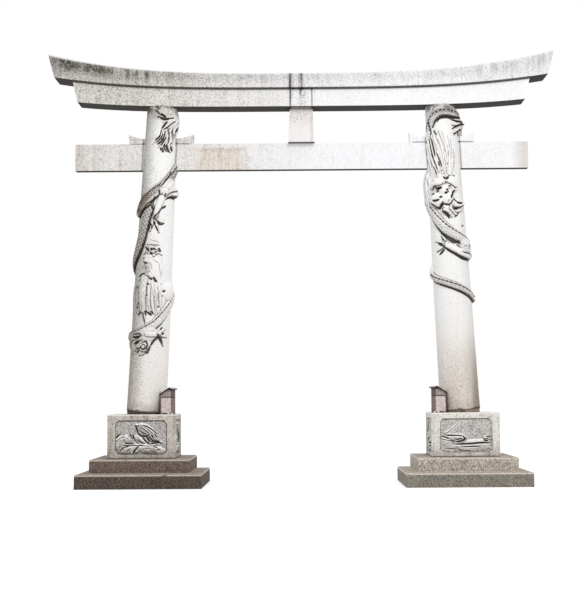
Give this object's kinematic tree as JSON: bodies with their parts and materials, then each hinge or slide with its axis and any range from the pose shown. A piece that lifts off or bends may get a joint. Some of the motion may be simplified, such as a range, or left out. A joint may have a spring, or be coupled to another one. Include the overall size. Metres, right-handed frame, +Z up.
{
  "type": "stone torii gate",
  "caption": "Stone torii gate: leaning round pillars carved with coiled dragons, panelled plinths, wedged tie beam and upswept double lintel.",
  "frame": {"origin": "on the floor, midway between the two bases in width and depth", "axes": "+X to the right seen from the front, along the beams; -Y towards the front, the side with the offering boxes; +Z up"},
  "size_m": [7.38, 1.76, 6.313],
  "materials": {
    "pillar_granite": "fine dressed, weathered",
    "carved_granite": "carved, matt, weathered",
    "beam_granite": "fine dressed, rain-streaked",
    "plinth_granite": "bush-hammered with carved panels",
    "step_granite": "rough dressed, damp-stained",
    "mortar": "rough, dark",
    "box_wood": "pale, weathered",
    "box_roof_sheet": "dull sheet"
  },
  "bodies": {
    "root": {"centre_strut": "beam_granite", "left_dragon_foreleg": "carved_granite", "left_dragon_head": "carved_granite", "left_dragon_hind_leg": "carved_granite", "left_dragon_middle_coil": "carved_granite", "left_dragon_tail": "carved_granite", "left_dragon_tuft": "carved_granite", "left_dragon_upper_coil": "carved_granite", "left_inner_wedge": "beam_granite", "left_lower_step": "step_granite", "left_offering_box": "box_wood", "left_offering_box_roof": "box_roof_sheet", "left_outer_wedge": "beam_granite", "left_pillar": "pillar_granite", "left_pillar_bedding": "mortar", "left_plinth": "plinth_granite", "left_plinth_relief": "plinth_granite", "left_tie_beam_end": "beam_granite", "left_upper_step": "step_granite", "lower_lintel_centre": "beam_granite", "lower_lintel_left": "beam_granite", "lower_lintel_right": "beam_granite", "right_dragon_claw": "carved_granite", "right_dragon_foreleg": "carved_granite", "right_dragon_head": "carved_granite", "right_dragon_mane": "carved_granite", "right_dragon_middle_coil": "carved_granite", "right_dragon_tail": "carved_granite", "right_dragon_upper_coil": "carved_granite", "right_inner_wedge": "beam_granite", "right_lower_step": "step_granite", "right_offering_box": "box_wood", "right_offering_box_roof": "box_roof_sheet", "right_outer_wedge": "beam_granite", "right_pillar": "pillar_granite", "right_pillar_bedding": "mortar", "right_plinth": "plinth_granite", "right_plinth_relief": "plinth_granite", "right_tie_beam_end": "beam_granite", "right_upper_step": "step_granite", "tie_beam_middle": "beam_granite", "upper_lintel_left": "beam_granite", "upper_lintel_right": "beam_granite"}
  },
  "joints": []
}
